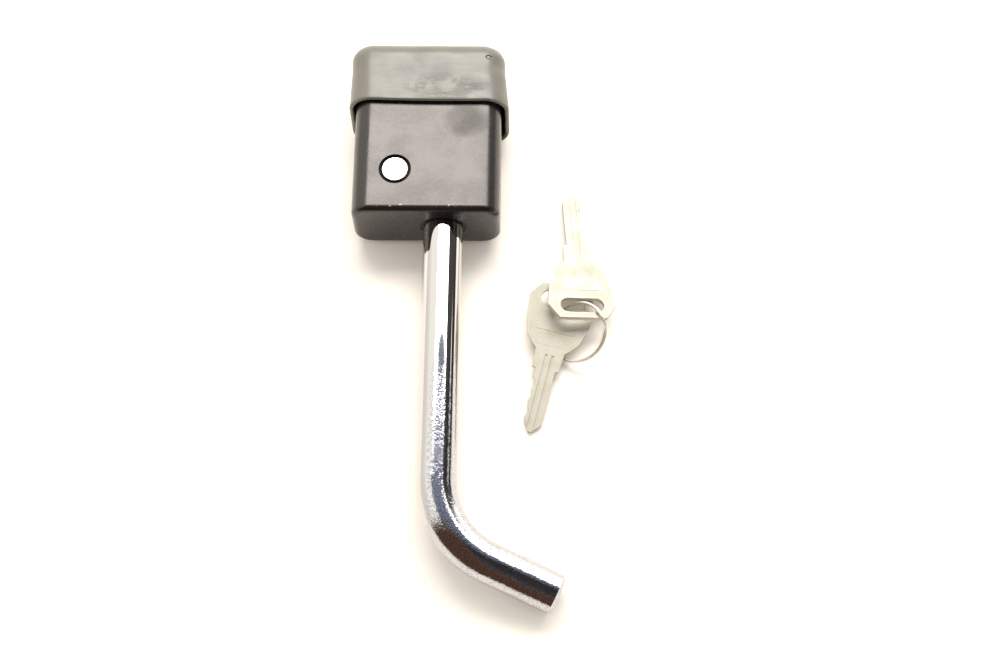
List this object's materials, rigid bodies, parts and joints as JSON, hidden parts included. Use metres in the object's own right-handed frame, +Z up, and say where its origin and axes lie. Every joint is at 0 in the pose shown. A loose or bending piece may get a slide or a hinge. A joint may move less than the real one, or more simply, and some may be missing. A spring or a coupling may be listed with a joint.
{
  "type": "hitch pin lock",
  "caption": "Locking receiver hitch pin: a bent chromed pin in a black rounded lock head with a rubber weather cap, with its keys on a split ring.",
  "frame": {"origin": "where the pin's axis leaves the flat pin-side face of the lock head", "axes": "+Y along the pin's axis from the bent leg towards the head and its cap, +Z up from the surface the lock lies on, +X towards the side that the leg bends to"},
  "size_m": [0.1072, 0.2297, 0.0341],
  "materials": {
    "black_coating": "semi-gloss black coating on a casting, slightly mottled",
    "grey_rubber": "smooth olive-grey moulded rubber with scuffs",
    "chrome_plate": "bright chrome plate",
    "black_rubber": "matt black rubber",
    "polished_steel": "polished flush end",
    "plate_steel": "plain zinc-plated steel",
    "screw_steel": "zinc-plated screw",
    "spring_steel": "spring steel",
    "zinc_casting": "bare zinc casting",
    "lock_brass": "machined brass",
    "nickel_brass": "pale nickel-plated brass with a knurled bow",
    "ring_steel": "bright spring wire"
  },
  "bodies": {
    "head": {"lock_housing": "black_coating", "cylinder_carrier": "zinc_casting", "cylinder_body": "zinc_casting", "face_plate": "plate_steel", "face_plate_screws": "screw_steel", "pivot_pin": "polished_steel"},
    "plug": {"cylinder_plug": "lock_brass", "wafer_springs": "spring_steel", "plug_clip": "spring_steel", "crank": "plate_steel", "crank_roll_pin": "spring_steel"},
    "wafers": {"wafer_1": "lock_brass", "wafer_2": "lock_brass", "wafer_3": "lock_brass", "wafer_4": "lock_brass", "wafer_5": "lock_brass"},
    "pawl": {"locking_pawl": "plate_steel"},
    "pin_collar": {"pin_seal": "black_rubber"},
    "pin": {"hitch_pin": "chrome_plate"},
    "cap": {"weather_cap": "grey_rubber"},
    "ring": {"split_ring": "ring_steel"},
    "first_key": {"key_1": "nickel_brass"},
    "second_key": {"key_2": "nickel_brass"}
  },
  "joints": [
    {"name": "pin_swivel", "type": "hinge", "parent": "head", "child": "pin_collar", "pos_m": [0, 0, 0], "axis": [0, 1, 0], "continuous": true},
    {"name": "pin_pull", "type": "slide", "parent": "pin_collar", "child": "pin", "axis": [0, -1, 0], "range_m": [0, 0.12]},
    {"name": "cap_pull", "type": "slide", "parent": "head", "child": "cap", "axis": [0, 1, 0], "range_m": [0, 0.05]},
    {"name": "plug_turn", "type": "hinge", "parent": "head", "child": "plug", "pos_m": [-0.019, 0.06, 0], "axis": [0, 1, 0], "range_deg": [0, 90]},
    {"name": "pawl_swing", "type": "hinge", "parent": "head", "child": "pawl", "pos_m": [-0.019, 0.0182, 0], "axis": [0, 0, 1], "range_deg": [-13.2, 0]},
    {"name": "wafer_slide", "type": "slide", "parent": "plug", "child": "wafers", "axis": [0, 0, 1], "range_m": [0, 0.0008]},
    {"name": "keys_lift", "type": "slide", "parent": "head", "child": "ring", "axis": [0, 0, 1], "range_m": [0, 0.05]},
    {"name": "key_1_swing", "type": "hinge", "parent": "ring", "child": "first_key", "pos_m": [0.05387, -0.04079, -0.00991], "axis": [-0.4928, -0.144, 0.8582], "range_deg": [-60, 0]},
    {"name": "key_2_swing", "type": "hinge", "parent": "ring", "child": "second_key", "pos_m": [0.05387, -0.04079, -0.00991], "axis": [-0.4928, -0.144, 0.8582], "range_deg": [0, 40]}
  ],
  "couplings": [
    {"joint": "pawl_swing", "follows": "plug_turn", "ratio": -0.14667}
  ]
}
